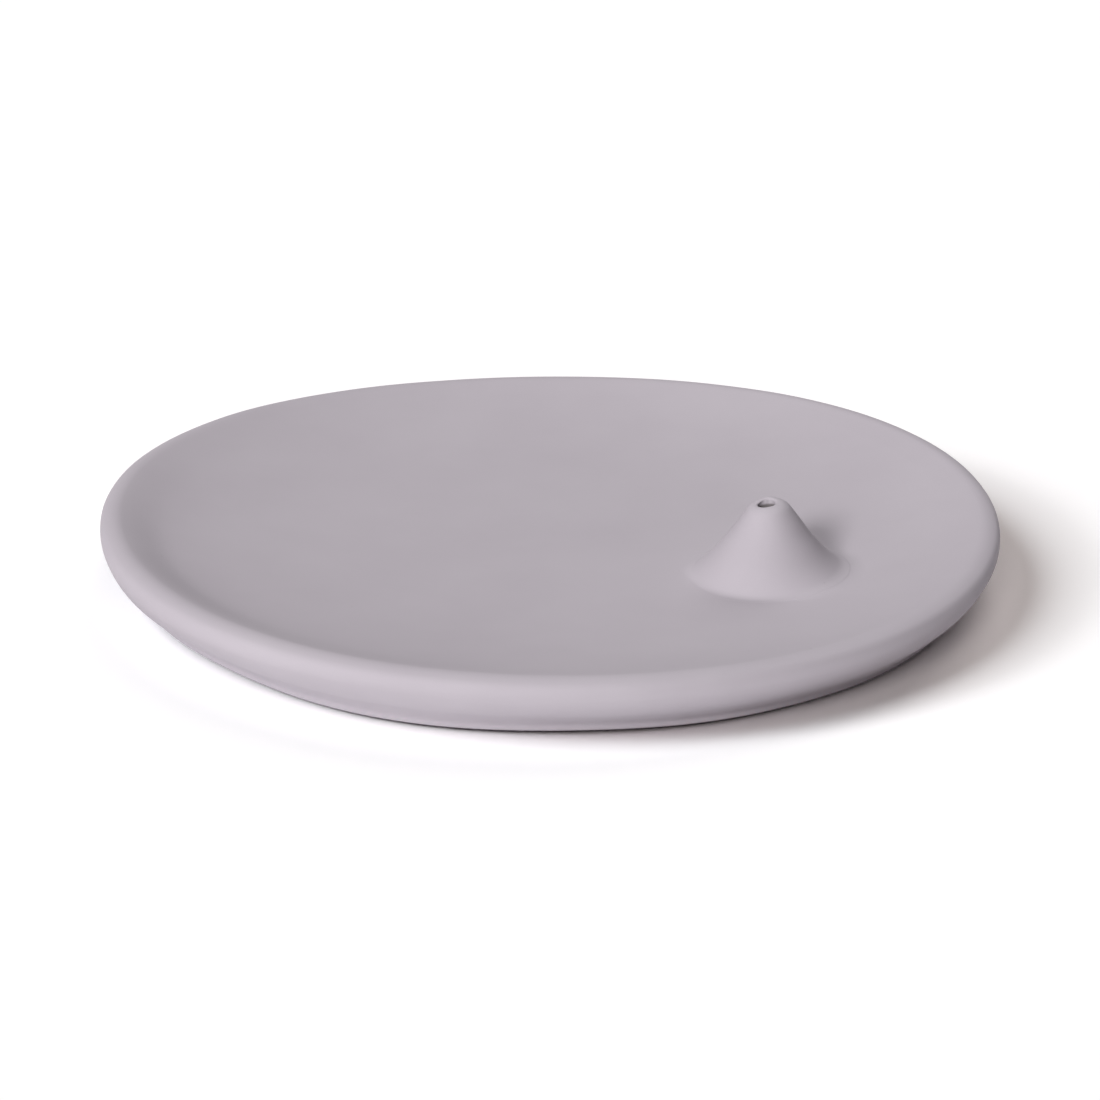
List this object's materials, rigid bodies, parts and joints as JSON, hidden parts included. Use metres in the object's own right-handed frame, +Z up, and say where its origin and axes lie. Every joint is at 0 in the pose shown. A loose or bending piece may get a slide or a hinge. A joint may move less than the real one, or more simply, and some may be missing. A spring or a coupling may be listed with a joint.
{
  "type": "incense plate",
  "caption": "Round shallow ceramic dish with a rolled rim and a small pierced cone near its edge, which stands a stick of incense upright and catches its ash.",
  "frame": {"origin": "on the table, under the middle of the dish's outline", "axes": "+Z up out of the well; the viewer of the picture stands towards -Y, and the cone lies towards +X and a little towards the viewer"},
  "size_m": [0.14, 0.14, 0.0185],
  "materials": {
    "dish_clay": "matte",
    "cone_clay": "matte",
    "foot_rubber": "matte"
  },
  "bodies": {
    "root": {"dish": "dish_clay", "stick_cone": "cone_clay", "foot_back_right": "foot_rubber", "foot_back_left": "foot_rubber", "foot_front_left": "foot_rubber", "foot_front_right": "foot_rubber"}
  },
  "joints": []
}
